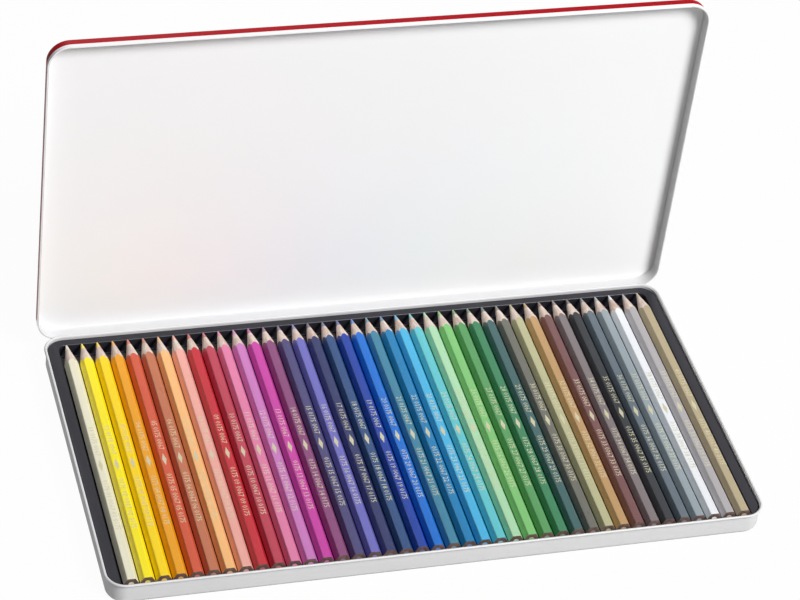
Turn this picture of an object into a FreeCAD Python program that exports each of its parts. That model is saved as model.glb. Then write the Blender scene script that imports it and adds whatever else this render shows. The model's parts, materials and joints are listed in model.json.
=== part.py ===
"""Watercolor pencil set: forty hexagonal pencils in a tray, in a flat tin with a hinged lid."""
import FreeCAD
import Part
import Sketcher
import os

V = FreeCAD.Vector

# Axes of a sketch, and points of a sketch element, by their index
X_AXIS, Y_AXIS = range(-1, -3, -1)
START, END, CENTRE = range(1, 4)

PENCIL_COLOURS = (
    "ivory", "lemon", "golden_yellow", "orange", "vermilion", "russet", "apricot", "salmon",
    "scarlet", "crimson", "pink", "lilac", "magenta", "plum", "slate_violet", "periwinkle",
    "indigo", "prussian", "ultramarine", "cobalt", "dark_teal", "cerulean", "sky_blue",
    "turquoise", "pale_mint", "grass_green", "mid_green", "emerald", "slate_green", "olive_grey",
    "khaki", "ochre", "burgundy", "taupe", "black", "blue_grey", "grey_blue", "white",
    "silver", "gold",
)
PENCIL_STEPS = len(PENCIL_COLOURS) - 1
HINGE_SIDES = {"left": "hinge_minus_offset", "right": "hinge_offset"}
TRAY_CELLS = 6
LEVEL_TOLERANCE = 0.01

# Driving sizes in millimetres, the lid angle in degrees
DRIVING_SIZES = (
    ("pencil_length", 175.0, "flat end to tip"),
    ("pencil_flats", 6.7, "across the flats"),
    ("pencil_gap", 0.31, "between the corners of neighbouring pencils"),
    ("pencil_drop", 1.5, "top of the bead down to the pencil axis"),
    ("cone_length", 14.0, "tip to the middle of a flat"),
    ("tip_radius", 0.4, "blunt tip"),
    ("core_radius", 1.4, "coloured core"),
    ("core_glue", 0.03, "glue line between core and casing"),
    ("tray_side_play", 0.5, "outer pencils to the side of the well"),
    ("tray_tip_play", 0.35, "pencil tips to the back of the well"),
    ("tray_end_play", 0.7, "pencil ends to the open front of the tray"),
    ("tray_side_border", 5.9, "well to the side of the tray"),
    ("tray_back_border", 4.55, "well to the back of the tray"),
    ("tray_gap", 0.35, "play between tray and tin wall"),
    ("tray_drop", 1.5, "top of the bead down to the tray border"),
    ("tray_wall", 0.8, "thickness of the formed tray"),
    ("tray_well_corner", 4.0, "plan radius of the back corners of the well"),
    ("tray_edge_round", 0.35, "rounding of the border edges"),
    ("tray_channel_inset", 1.9, "outside of the tray to the hollow under the border"),
    ("tray_channel_end", 16.0, "hollow under the border stops short of the corners"),
    ("trough_lead", 4.6, "pencil tips to the edge of the raised bed"),
    ("tin_height", 12.8, "underside to the top of the bead"),
    ("tin_corner", 9.5, "plan radius of the wall corners"),
    ("tin_floor_round", 2.2, "outside radius between wall and floor"),
    ("sheet_metal", 0.4, "thickness of the pressed metal"),
    ("bead_radius", 0.65, "bead curled outwards round the rim"),
    ("lid_gap", 0.35, "play between bead and lid skirt, front and back"),
    ("lid_side_gap", 1.3, "play between bead and lid skirt, at the sides"),
    ("lid_height", 7.4, "outside height of the lid"),
    ("lid_overlap", 3.0, "lid skirt below the top of the bead when shut"),
    ("lid_edge_round", 1.4, "outside radius between lid panel and skirt"),
    ("lid_open_angle", 90.0, "turn from shut to fully open"),
    ("hinge_offset", 79.0, "middle of the tin to the middle of a hinge"),
    ("knuckle_base_length", 4.2, "each outer knuckle, on the base"),
    ("knuckle_lid_length", 5.0, "middle knuckle, on the lid"),
    ("knuckle_end_gap", 0.3, "play between neighbouring knuckles"),
    ("knuckle_wall", 0.5, "wall of a knuckle round its bore"),
    ("pin_radius", 0.45, "hinge wire"),
    ("pin_fit", 0.05, "play between wire and bore, on the radius"),
    ("pin_head_rim", 0.35, "peened head beyond the wire"),
    ("pin_head_length", 0.4, "peened head"),
    ("pin_play", 0.15, "play between head and knuckle"),
    ("leaf_sheet", 0.5, "thickness of a hinge leaf"),
    ("leaf_clear", 0.35, "space kept round the knuckles"),
    ("leaf_base_drop", 6.4, "hinge axis to the low edge of the base leaf"),
    ("leaf_lid_margin", 0.3, "high edge of the lid leaf below the round of the lid"),
)

# Sizes that follow from the driving ones
DERIVED_SIZES = (
    ("pencil_corner", "pencil_flats / sqrt(3)"),
    ("pencil_half_flats", "pencil_flats / 2"),
    ("pencil_half_side", "pencil_corner / 2"),
    ("pencil_pitch", "2 * pencil_corner + pencil_gap"),
    ("pencil_level", "tin_height - pencil_drop"),
    ("core_bore_radius", "core_radius + core_glue"),
    ("cone_run", "(pencil_flats - tip_radius) * cone_length / (pencil_half_flats - tip_radius)"),
    ("cone_start", "pencil_length - cone_run"),
    ("cone_end", "pencil_length + tip_radius"),
    ("row_half_width", "%d * pencil_pitch / 2 + pencil_corner" % PENCIL_STEPS),
    ("well_half_width", "row_half_width + tray_side_play"),
    ("tray_half_width", "well_half_width + tray_side_border"),
    ("tray_depth", "tray_end_play + pencil_length + tray_tip_play + tray_back_border"),
    ("tray_half_depth", "tray_depth / 2"),
    ("tray_corner", "tin_corner - sheet_metal - tray_gap"),
    ("tray_level", "tin_height - tray_drop"),
    ("tray_height", "tray_level - sheet_metal"),
    ("tin_half_width", "tray_half_width + tray_gap + sheet_metal"),
    ("tin_half_depth", "tray_half_depth + tray_gap + sheet_metal"),
    ("tin_inner_half_width", "tin_half_width - sheet_metal"),
    ("tin_inner_half_depth", "tin_half_depth - sheet_metal"),
    ("tin_inner_corner", "tin_corner - sheet_metal"),
    ("tin_inner_round", "tin_floor_round - sheet_metal"),
    ("bead_level", "tin_height - bead_radius"),
    ("bead_out", "bead_radius - sheet_metal / 2"),
    ("rim_half_width", "tin_half_width + bead_out"),
    ("rim_half_depth", "tin_half_depth + bead_out"),
    ("rim_corner", "tin_corner + bead_out"),
    ("tin_pocket", "bead_level - sheet_metal"),
    ("tray_foot", "tin_inner_round"),
    ("pencil_end", "tray_half_depth - tray_end_play"),
    ("pencil_tip", "pencil_length - pencil_end"),
    ("bed_level", "pencil_level - pencil_half_flats"),
    ("well_front", "tray_half_depth + tray_well_corner"),
    ("well_back", "pencil_tip + tray_tip_play"),
    ("well_depth", "tray_level - bed_level"),
    ("trough_front", "pencil_tip - trough_lead"),
    ("trough_level", "sheet_metal + tray_wall"),
    ("trough_depth", "tray_level - trough_level"),
    ("cell_width", "(2 * well_half_width - %d * tray_wall) / %d" % (TRAY_CELLS - 1, TRAY_CELLS)),
    ("cell_pitch", "cell_width + tray_wall"),
    ("cell_travel", "%d * cell_pitch" % (TRAY_CELLS - 1)),
    ("cell_right", "well_half_width - cell_width"),
    ("cell_front", "tray_half_depth - tray_wall"),
    ("cell_back", "trough_front - tray_wall"),
    ("cell_depth", "bed_level - tray_wall - sheet_metal"),
    ("channel_inner", "well_half_width + tray_wall"),
    ("channel_outer", "tray_half_width - tray_channel_inset"),
    ("channel_end", "tray_half_depth - tray_channel_end"),
    ("channel_back_inner", "well_back + tray_wall"),
    ("channel_back_outer", "tray_half_depth - tray_channel_inset"),
    ("channel_back_end", "tray_half_width - tray_channel_end"),
    ("channel_depth", "tray_height - tray_wall"),
    ("hinge_reach", "bead_out + bead_radius + lid_gap + sheet_metal"),
    ("hinge_back", "tin_half_depth + hinge_reach"),
    ("hinge_level", "tin_height - lid_overlap"),
    ("hinge_minus_offset", "-hinge_offset"),
    ("lid_half_width", "rim_half_width + bead_radius + lid_side_gap + sheet_metal"),
    ("lid_span", "2 * hinge_back"),
    ("lid_corner", "tin_corner + hinge_reach"),
    ("lid_inner_half_width", "lid_half_width - sheet_metal"),
    ("lid_inner_front", "lid_span - sheet_metal"),
    ("lid_inner_corner", "lid_corner - sheet_metal"),
    ("lid_inner_round", "lid_edge_round - sheet_metal"),
    ("lid_pocket", "lid_height - sheet_metal"),
    ("lid_notch_depth", "2 * sheet_metal"),
    ("lid_turn", "-lid_open_angle"),
    ("knuckle_bore_radius", "pin_radius + pin_fit"),
    ("knuckle_radius", "knuckle_bore_radius + knuckle_wall"),
    ("knuckle_base_start", "knuckle_lid_length / 2 + knuckle_end_gap"),
    ("hinge_half_length", "knuckle_base_start + knuckle_base_length"),
    ("hinge_length", "2 * hinge_half_length"),
    ("pin_head_radius", "pin_radius + pin_head_rim"),
    ("pin_half", "hinge_half_length + pin_play"),
    ("pin_end", "pin_half + pin_head_length"),
    ("leaf_turn_inner", "knuckle_radius - leaf_sheet"),
    ("leaf_base_outer", "hinge_reach - leaf_sheet"),
    ("leaf_tab_low", "knuckle_radius + leaf_sheet"),
    ("leaf_lid_low", "knuckle_radius + leaf_clear"),
    ("leaf_lid_rise", "lid_height - lid_edge_round - leaf_lid_margin"),
    ("leaf_jog_high", "leaf_lid_low + leaf_sheet"),
    ("notch_near", "hinge_offset - pin_end - leaf_clear"),
    ("notch_far", "hinge_offset + pin_end + leaf_clear"),
    ("notch_high", "leaf_lid_low + leaf_clear / 2"),
)

doc = FreeCAD.newDocument("pencil_set")
sizes = doc.addObject("Spreadsheet::Sheet", "Sizes")
row = 0
for alias, value, note in DRIVING_SIZES:
    row += 1
    sizes.set("A%d" % row, alias)
    sizes.set("B%d" % row, "%s" % value)
    sizes.set("C%d" % row, note)
    sizes.setAlias("B%d" % row, alias)
for alias, formula in DERIVED_SIZES:
    row += 1
    sizes.set("A%d" % row, alias)
    sizes.set("B%d" % row, "=" + formula)
    sizes.setAlias("B%d" % row, alias)
doc.recompute()


def size(alias):
    """The number in a named cell."""
    return float(sizes.get(alias))


def bind(thing, prop, alias):
    """Let a cell drive a property."""
    thing.setExpression(prop, "Sizes." + alias)


def new_body(label):
    """An empty sub-part."""
    body = doc.addObject("PartDesign::Body", label)
    body.Label = label
    return body


def plane_of(body, role):
    """One of the body's own origin planes."""
    return [plane for plane in body.Origin.OriginFeatures if plane.Role == role][0]


def new_sketch(body, role, name, level=None):
    """A sketch on an origin plane, raised to a named level."""
    sketch = body.newObject("Sketcher::SketchObject", body.Name + "_" + name)
    sketch.AttachmentSupport = [(plane_of(body, role), "")]
    sketch.MapMode = "FlatFace"
    if level:
        bind(sketch, "AttachmentOffset.Base.z", level)
    doc.recompute()
    return sketch


def value_of(coordinate):
    """A signed coordinate such as "-tin_half_width" as a number; an empty one is zero."""
    if not coordinate:
        return 0.0
    if coordinate.startswith("-"):
        return -size(coordinate[1:])
    return size(coordinate)


def fix_point(sketch, geometry, point, coordinate, kind):
    """Hold a point at a signed coordinate along one sketch axis."""
    if not coordinate:
        axis = Y_AXIS if kind == "DistanceX" else X_AXIS
        sketch.addConstraint(Sketcher.Constraint("PointOnObject", geometry, point, axis))
        return
    alias = coordinate.lstrip("-")
    if coordinate.startswith("-"):
        ends = (geometry, point, X_AXIS, START)
    else:
        ends = (X_AXIS, START, geometry, point)
    index = sketch.addConstraint(Sketcher.Constraint(kind, *ends, size(alias)))
    bind(sketch, "Constraints[%d]" % index, alias)


def polygon(sketch, corners):
    """A closed outline; every corner is a pair of signed coordinates."""
    first = sketch.GeometryCount
    points = [V(value_of(across), value_of(along), 0) for across, along in corners]
    count = len(corners)
    for step in range(count):
        sketch.addGeometry(Part.LineSegment(points[step], points[(step + 1) % count]), False)
    for step in range(count):
        following = first + (step + 1) % count
        sketch.addConstraint(Sketcher.Constraint("Coincident", first + step, END, following, START))
    for step, (across, along) in enumerate(corners):
        fix_point(sketch, first + step, START, across, "DistanceX")
        fix_point(sketch, first + step, START, along, "DistanceY")


def rectangle(sketch, left, right, low, high):
    """A closed rectangle with signed sides."""
    polygon(sketch, ((left, low), (right, low), (right, high), (left, high)))


def circle(sketch, radius, across="", along=""):
    """A full circle, round the sketch origin unless its centre is given."""
    centre = V(value_of(across), value_of(along), 0)
    index = sketch.addGeometry(Part.Circle(centre, V(0, 0, 1), size(radius)), False)
    fix_point(sketch, index, CENTRE, across, "DistanceX")
    fix_point(sketch, index, CENTRE, along, "DistanceY")
    held = sketch.addConstraint(Sketcher.Constraint("Radius", index, size(radius)))
    bind(sketch, "Constraints[%d]" % held, radius)


def rounded_rectangle(sketch, left, right, low, high, low_radius, high_radius):
    """A closed rectangle with signed sides and round corners."""
    x0, x1, y0, y1 = (value_of(side) for side in (left, right, low, high))
    r0, r1 = size(low_radius), size(high_radius)
    z = V(0, 0, 1)
    quarter = FreeCAD.Units.Quantity("90 deg").getValueAs("rad").Value
    lines = (
        (V(x0 + r0, y0, 0), V(x1 - r0, y0, 0)),
        (V(x1, y0 + r0, 0), V(x1, y1 - r1, 0)),
        (V(x1 - r1, y1, 0), V(x0 + r1, y1, 0)),
        (V(x0, y1 - r1, 0), V(x0, y0 + r0, 0)),
    )
    arcs = (
        (V(x1 - r0, y0 + r0, 0), r0, -quarter),
        (V(x1 - r1, y1 - r1, 0), r1, 0),
        (V(x0 + r1, y1 - r1, 0), r1, quarter),
        (V(x0 + r0, y0 + r0, 0), r0, 2 * quarter),
    )
    first = sketch.GeometryCount
    for (start, end), (centre, radius, turn) in zip(lines, arcs):
        sketch.addGeometry(Part.LineSegment(start, end), False)
        sketch.addGeometry(Part.ArcOfCircle(Part.Circle(centre, z, radius), turn, turn + quarter), False)
    count = len(lines) + len(arcs)
    for step in range(count):
        following = first + (step + 1) % count
        sketch.addConstraint(Sketcher.Constraint("Tangent", first + step, END, following, START))
    front, right_side, back, left_side = (first + 2 * step for step in range(len(lines)))
    for line in (front, back):
        sketch.addConstraint(Sketcher.Constraint("Horizontal", line))
    for line in (right_side, left_side):
        sketch.addConstraint(Sketcher.Constraint("Vertical", line))
    fix_point(sketch, left_side, START, left, "DistanceX")
    fix_point(sketch, right_side, START, right, "DistanceX")
    fix_point(sketch, front, START, low, "DistanceY")
    fix_point(sketch, back, START, high, "DistanceY")
    for near, far, radius in ((front, left_side, low_radius), (right_side, back, high_radius)):
        sketch.addConstraint(Sketcher.Constraint("Equal", near + 1, far + 1))
        held = sketch.addConstraint(Sketcher.Constraint("Radius", near + 1, size(radius)))
        bind(sketch, "Constraints[%d]" % held, radius)


def feature(body, kind, sketch, length, backward=False, symmetric=False):
    """A pad or pocket of a sketch."""
    made = body.newObject("PartDesign::" + kind, sketch.Name + "_" + kind.lower())
    made.Profile = sketch
    bind(made, "Length", length)
    made.Reversed = backward
    if symmetric:
        made.SideType = "Symmetric"
    sketch.Visibility = False
    doc.recompute()
    return made


def turned(body, kind, sketch):
    """A full revolution or groove of a sketch round its horizontal axis."""
    made = body.newObject("PartDesign::" + kind, sketch.Name + "_" + kind.lower())
    made.Profile = sketch
    made.ReferenceAxis = (sketch, ["H_Axis"])
    sketch.Visibility = False
    doc.recompute()
    return made


def level_edges(base, level):
    """Names of the edges that lie flat at one level."""
    names = []
    for number, edge in enumerate(base.Shape.Edges, 1):
        box = edge.BoundBox
        if max(abs(box.ZMin - level), abs(box.ZMax - level)) < LEVEL_TOLERANCE:
            names.append("Edge%d" % number)
    return names


def dress(body, kind, base, level, prop, alias):
    """A fillet or chamfer of all edges at one level."""
    made = body.newObject("PartDesign::" + kind, base.Name + "_" + kind.lower())
    made.Base = (base, level_edges(base, level))
    bind(made, prop, alias)
    doc.recompute()
    return made


def place(thing, across="", along="", up="", turn=""):
    """Drive a sub-part's place from the cells."""
    for axis, alias in (("x", across), ("y", along), ("z", up)):
        if alias:
            bind(thing, "Placement.Base." + axis, alias)
    if turn:
        thing.Placement = FreeCAD.Placement(V(), FreeCAD.Rotation(V(1, 0, 0), size(turn)))
        bind(thing, "Placement.Rotation.Angle", turn)
    doc.recompute()


def make_tin_base():
    """Pressed pan with a bead curled outwards round its rim."""
    body = new_body("tin_base")
    outline = new_sketch(body, "XY_Plane", "outline")
    rounded_rectangle(outline, "-tin_half_width", "tin_half_width", "-tin_half_depth", "tin_half_depth",
                      "tin_corner", "tin_corner")
    feature(body, "Pad", outline, "bead_level")
    inside = new_sketch(body, "XY_Plane", "inside", "bead_level")
    rounded_rectangle(inside, "-tin_inner_half_width", "tin_inner_half_width",
                      "-tin_inner_half_depth", "tin_inner_half_depth",
                      "tin_inner_corner", "tin_inner_corner")
    hollow = feature(body, "Pocket", inside, "tin_pocket")
    inner_round = dress(body, "Fillet", hollow, size("sheet_metal"), "Radius", "tin_inner_round")
    dress(body, "Fillet", inner_round, 0, "Radius", "tin_floor_round")
    path = new_sketch(body, "XY_Plane", "bead_path", "bead_level")
    rounded_rectangle(path, "-rim_half_width", "rim_half_width", "-rim_half_depth", "rim_half_depth",
                      "rim_corner", "rim_corner")
    section = new_sketch(body, "YZ_Plane", "bead_section")
    circle(section, "bead_radius", "-rim_half_depth", "bead_level")
    doc.recompute()
    bead = body.newObject("PartDesign::AdditivePipe", "tin_bead")
    bead.Profile = section
    bead.Spine = (path, ["Edge%d" % (number + 1) for number in range(path.GeometryCount)])
    for sketch in (path, section):
        sketch.Visibility = False
    doc.recompute()
    return body


def make_lid():
    """Pressed lid, drawn shut round the hinge axis and then turned open."""
    body = new_body("tin_lid")
    outline = new_sketch(body, "XY_Plane", "outline")
    rounded_rectangle(outline, "-lid_half_width", "lid_half_width", "-lid_span", "",
                      "lid_corner", "lid_corner")
    feature(body, "Pad", outline, "lid_height")
    inside = new_sketch(body, "XY_Plane", "inside")
    rounded_rectangle(inside, "-lid_inner_half_width", "lid_inner_half_width",
                      "-lid_inner_front", "-sheet_metal", "lid_inner_corner", "lid_inner_corner")
    hollow = feature(body, "Pocket", inside, "lid_pocket", backward=True)
    inner_round = dress(body, "Fillet", hollow, size("lid_pocket"), "Radius", "lid_inner_round")
    dress(body, "Fillet", inner_round, size("lid_height"), "Radius", "lid_edge_round")
    notches = new_sketch(body, "XZ_Plane", "notches")
    rectangle(notches, "notch_near", "notch_far", "", "notch_high")
    rectangle(notches, "-notch_far", "-notch_near", "", "notch_high")
    feature(body, "Pocket", notches, "lid_notch_depth", backward=True)
    place(body, "", "hinge_back", "hinge_level", "lid_turn")
    return body


def bore(body, sketch_name):
    """Bore a hinge leaf along the hinge axis."""
    sketch = new_sketch(body, "YZ_Plane", sketch_name)
    circle(sketch, "knuckle_bore_radius")
    return feature(body, "Pocket", sketch, "hinge_length", symmetric=True)


def make_base_leaf(side):
    """Hinge leaf on the back wall of the base, with two outer knuckles."""
    body = new_body("hinge_base_leaf_" + side)
    plate = new_sketch(body, "YZ_Plane", "plate")
    rectangle(plate, "-hinge_reach", "-leaf_base_outer", "-leaf_base_drop", "-knuckle_radius")
    feature(body, "Pad", plate, "hinge_length", symmetric=True)
    tab = new_sketch(body, "YZ_Plane", "tab", "knuckle_base_start")
    polygon(tab, (("-hinge_reach", "-leaf_tab_low"), ("-leaf_base_outer", "-leaf_tab_low"),
                  ("-leaf_base_outer", "-knuckle_radius"), ("", "-knuckle_radius"),
                  ("", "-leaf_turn_inner"), ("-hinge_reach", "-leaf_turn_inner")))
    tab_pad = feature(body, "Pad", tab, "knuckle_base_length")
    ring = new_sketch(body, "YZ_Plane", "knuckle", "knuckle_base_start")
    circle(ring, "knuckle_radius")
    ring_pad = feature(body, "Pad", ring, "knuckle_base_length")
    mirrored = body.newObject("PartDesign::Mirrored", body.Name + "_mirrored")
    mirrored.Originals = [tab_pad, ring_pad]
    mirrored.MirrorPlane = (plane_of(body, "YZ_Plane"), [""])
    body.Tip = mirrored
    doc.recompute()
    bore(body, "bore")
    return body


def make_lid_leaf(side):
    """Hinge leaf on the back skirt of the lid, with the middle knuckle."""
    body = new_body("hinge_lid_leaf_" + side)
    plate = new_sketch(body, "YZ_Plane", "plate")
    rectangle(plate, "", "leaf_sheet", "leaf_lid_low", "leaf_lid_rise")
    feature(body, "Pad", plate, "hinge_length", symmetric=True)
    jog = new_sketch(body, "YZ_Plane", "jog")
    polygon(jog, (("", "leaf_lid_low"), ("leaf_turn_inner", "leaf_lid_low"), ("leaf_turn_inner", ""),
                  ("knuckle_radius", ""), ("knuckle_radius", "leaf_jog_high"), ("", "leaf_jog_high")))
    feature(body, "Pad", jog, "knuckle_lid_length", symmetric=True)
    ring = new_sketch(body, "YZ_Plane", "knuckle")
    circle(ring, "knuckle_radius")
    feature(body, "Pad", ring, "knuckle_lid_length", symmetric=True)
    bore(body, "bore")
    return body


def make_pin(side):
    """Hinge wire with a peened head at each end."""
    body = new_body("hinge_pin_" + side)
    outline = new_sketch(body, "XY_Plane", "outline")
    polygon(outline, (("-pin_end", ""), ("pin_end", ""), ("pin_end", "pin_head_radius"),
                      ("pin_half", "pin_head_radius"), ("pin_half", "pin_radius"),
                      ("-pin_half", "pin_radius"), ("-pin_half", "pin_head_radius"),
                      ("-pin_end", "pin_head_radius")))
    turned(body, "Revolution", outline)
    return body


def make_tray():
    """Formed insert: border, well, raised bed and a deeper trough behind the tips."""
    body = new_body("tray")
    outline = new_sketch(body, "XY_Plane", "outline", "sheet_metal")
    rounded_rectangle(outline, "-tray_half_width", "tray_half_width",
                      "-tray_half_depth", "tray_half_depth", "tray_corner", "tray_corner")
    block = feature(body, "Pad", outline, "tray_height")
    dress(body, "Chamfer", block, size("sheet_metal"), "Size", "tray_foot")
    well = new_sketch(body, "XY_Plane", "well", "tray_level")
    rounded_rectangle(well, "-well_half_width", "well_half_width", "-well_front", "well_back",
                      "tray_well_corner", "tray_well_corner")
    hollow = feature(body, "Pocket", well, "well_depth")
    dress(body, "Fillet", hollow, size("tray_level"), "Radius", "tray_edge_round")
    trough = new_sketch(body, "XY_Plane", "trough", "tray_level")
    rounded_rectangle(trough, "-well_half_width", "well_half_width", "trough_front", "well_back",
                      "tray_edge_round", "tray_well_corner")
    feature(body, "Pocket", trough, "trough_depth")
    cell = new_sketch(body, "XY_Plane", "cell", "sheet_metal")
    rectangle(cell, "-well_half_width", "-cell_right", "-cell_front", "cell_back")
    cell_pocket = feature(body, "Pocket", cell, "cell_depth", backward=True)
    cells = body.newObject("PartDesign::LinearPattern", "tray_cells")
    cells.Originals = [cell_pocket]
    cells.Direction = (cell, ["H_Axis"])
    bind(cells, "Length", "cell_travel")
    cells.Occurrences = TRAY_CELLS
    body.Tip = cells
    doc.recompute()
    channels = new_sketch(body, "XY_Plane", "channels", "sheet_metal")
    rectangle(channels, "-channel_outer", "-channel_inner", "-channel_end", "channel_end")
    rectangle(channels, "channel_inner", "channel_outer", "-channel_end", "channel_end")
    rectangle(channels, "-channel_back_end", "channel_back_end", "channel_back_inner", "channel_back_outer")
    feature(body, "Pocket", channels, "channel_depth", backward=True)
    return body


def sharpen(body):
    """Cut a pencil solid to the sharpened cone."""
    outline = new_sketch(body, "YZ_Plane", "cone")
    polygon(outline, (("pencil_length", "tip_radius"), ("cone_start", "pencil_flats"),
                      ("cone_end", "pencil_flats"), ("cone_end", "tip_radius")))
    return turned(body, "Groove", outline)


def make_casing():
    """Hexagonal wood casing along Y, a flat on top, its flat end at the origin."""
    body = new_body("pencil_casing")
    outline = new_sketch(body, "XZ_Plane", "hexagon")
    polygon(outline, (("pencil_corner", ""), ("pencil_half_side", "pencil_half_flats"),
                      ("-pencil_half_side", "pencil_half_flats"), ("-pencil_corner", ""),
                      ("-pencil_half_side", "-pencil_half_flats"),
                      ("pencil_half_side", "-pencil_half_flats")))
    feature(body, "Pad", outline, "pencil_length", backward=True)
    sharpen(body)
    hole = new_sketch(body, "XZ_Plane", "hole")
    circle(hole, "core_bore_radius")
    feature(body, "Pocket", hole, "pencil_length")
    return body


def make_core():
    """Coloured core that fills the casing and forms the tip."""
    body = new_body("pencil_core")
    outline = new_sketch(body, "XZ_Plane", "round")
    circle(outline, "core_radius")
    feature(body, "Pad", outline, "pencil_length", backward=True)
    sharpen(body)
    return body


def make_pencils(casing, core):
    """The row of pencils, tips to the back."""
    pencils = []
    middle = PENCIL_STEPS / 2
    for number, colour in enumerate(PENCIL_COLOURS):
        label = "pencil_%02d_%s" % (number + 1, colour)
        pencil = doc.addObject("Part::Compound", label)
        pencil.Label = label
        pencil.Links = [casing, core]
        pencil.setExpression("Placement.Base.x", "%s * Sizes.pencil_pitch" % (number - middle))
        pencil.setExpression("Placement.Base.y", "-Sizes.pencil_end")
        bind(pencil, "Placement.Base.z", "pencil_level")
        pencils.append(pencil)
    doc.recompute()
    return pencils


pieces = [make_tin_base(), make_lid(), make_tray()]
for side, offset in HINGE_SIDES.items():
    for maker, turn in ((make_base_leaf, ""), (make_lid_leaf, "lid_turn"), (make_pin, "")):
        piece = maker(side)
        place(piece, offset, "hinge_back", "hinge_level", turn)
        pieces.append(piece)
pieces += make_pencils(make_casing(), make_core())
doc.recompute()

for thing in doc.Objects:
    if "Invalid" in thing.State or "Error" in thing.State:
        raise RuntimeError("%s is in state %s" % (thing.Name, thing.State))
for piece in pieces:
    if piece.Shape.isNull() or not piece.Shape.isValid():
        raise RuntimeError("%s has no valid shape" % piece.Label)

os.makedirs("parts", exist_ok=True)
for piece in pieces:
    piece.Shape.exportStep("parts/%s.step" % piece.Label)
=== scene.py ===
"""Looks of a watercolor pencil set: pressed tin, hinged lid, formed tray and forty lacquered pencils."""
import json
import math

import bmesh
import bpy
from mathutils import Color, Matrix, Vector


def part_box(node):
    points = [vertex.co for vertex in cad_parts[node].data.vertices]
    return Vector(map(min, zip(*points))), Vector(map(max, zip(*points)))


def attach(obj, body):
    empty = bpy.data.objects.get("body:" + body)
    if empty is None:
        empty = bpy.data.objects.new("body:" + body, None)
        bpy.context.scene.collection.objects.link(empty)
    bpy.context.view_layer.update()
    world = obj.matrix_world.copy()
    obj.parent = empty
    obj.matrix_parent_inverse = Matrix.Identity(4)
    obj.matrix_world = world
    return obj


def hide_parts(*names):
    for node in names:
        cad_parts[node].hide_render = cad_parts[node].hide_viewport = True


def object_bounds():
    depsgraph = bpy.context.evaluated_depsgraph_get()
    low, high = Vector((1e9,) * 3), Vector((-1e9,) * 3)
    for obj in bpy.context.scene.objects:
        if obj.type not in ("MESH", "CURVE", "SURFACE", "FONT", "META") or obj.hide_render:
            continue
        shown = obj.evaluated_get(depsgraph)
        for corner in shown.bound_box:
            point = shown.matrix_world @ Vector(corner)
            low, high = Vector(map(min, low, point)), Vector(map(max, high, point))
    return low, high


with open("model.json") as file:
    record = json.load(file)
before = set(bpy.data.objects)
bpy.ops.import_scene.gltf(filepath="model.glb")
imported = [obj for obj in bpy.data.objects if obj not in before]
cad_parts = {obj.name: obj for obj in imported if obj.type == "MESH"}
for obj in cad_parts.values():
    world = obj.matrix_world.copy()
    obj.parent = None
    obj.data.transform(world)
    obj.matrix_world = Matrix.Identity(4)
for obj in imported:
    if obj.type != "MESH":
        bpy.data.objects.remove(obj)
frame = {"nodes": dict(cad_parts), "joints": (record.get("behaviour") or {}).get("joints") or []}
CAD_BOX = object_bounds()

bl_info = {
    "name": "Watercolor pencil set",
    "version": (1, 0, 0),
    "blender": (4, 5, 0),
    "location": "3D View > Sidebar > Pencil set",
    "description": "Models the tin, lid, hinges, tray and pencils of a watercolor pencil set",
    "category": "Add Mesh",
}

PENCIL_NODES = sorted(name for name in frame["nodes"] if name.startswith("pencil_"))
BASE_LOW, BASE_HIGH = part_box("tin_base")
LID_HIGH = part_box("tin_lid")[1]
TRAY_LOW, TRAY_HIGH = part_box("tray")
HINGE_AXIS = Vector(next(joint["pos_m"] for joint in frame["joints"] if joint["name"] == "lid_hinge"))

# The first pencil, whose shape all of them share
FIRST_LOW, FIRST_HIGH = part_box(PENCIL_NODES[0])
PENCIL_END, PENCIL_TIP = FIRST_LOW.y, FIRST_HIGH.y
PENCIL_BED, PENCIL_TOP = FIRST_LOW.z, FIRST_HIGH.z
PENCIL_LEVEL = (PENCIL_BED + PENCIL_TOP) / 2
PENCIL_FLATS = PENCIL_TOP - PENCIL_BED
PENCIL_CORNER = (FIRST_HIGH.x - FIRST_LOW.x) / 2

# Fineness of round shapes
CORNER_STEPS = 14
EDGE_STEPS = 5
FINE_STEPS = 3
FIGURE_STEPS = 1
CONE_SIDES = 72
CORE_SIDES = 24
CASING_SIDES = 6
DIAMOND_SIDES = 4
SMOOTH_ANGLE = math.radians(35)
FACET_ANGLE = math.radians(8)

# Tests of place in metres and of the way a face looks, as the share of its normal along an axis
NEAR = 1e-5
FACING = 0.9
STEEP = 0.5

QUARTER_TURN = math.radians(90)
SENSOR_WIDTH = 36.0
NEAREST_VIEW = 0.01
FURTHEST_VIEW = 50.0

# Places of the materials on the lid and on a pencil
LID_INSIDE, LID_OUTSIDE, LID_HEM = range(3)
LACQUER, CUT_WOOD, CORE, END_WOOD_WITH_PAINTED_SHADE = range(4)

# Foil figures: the pencil's place in the row, its length and its width
FAR_FIGURES = "{0:02d} 0175 0067"
NEAR_FIGURES = "0175 {0:02d} 0067 {0:02d} 0175"

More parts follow.
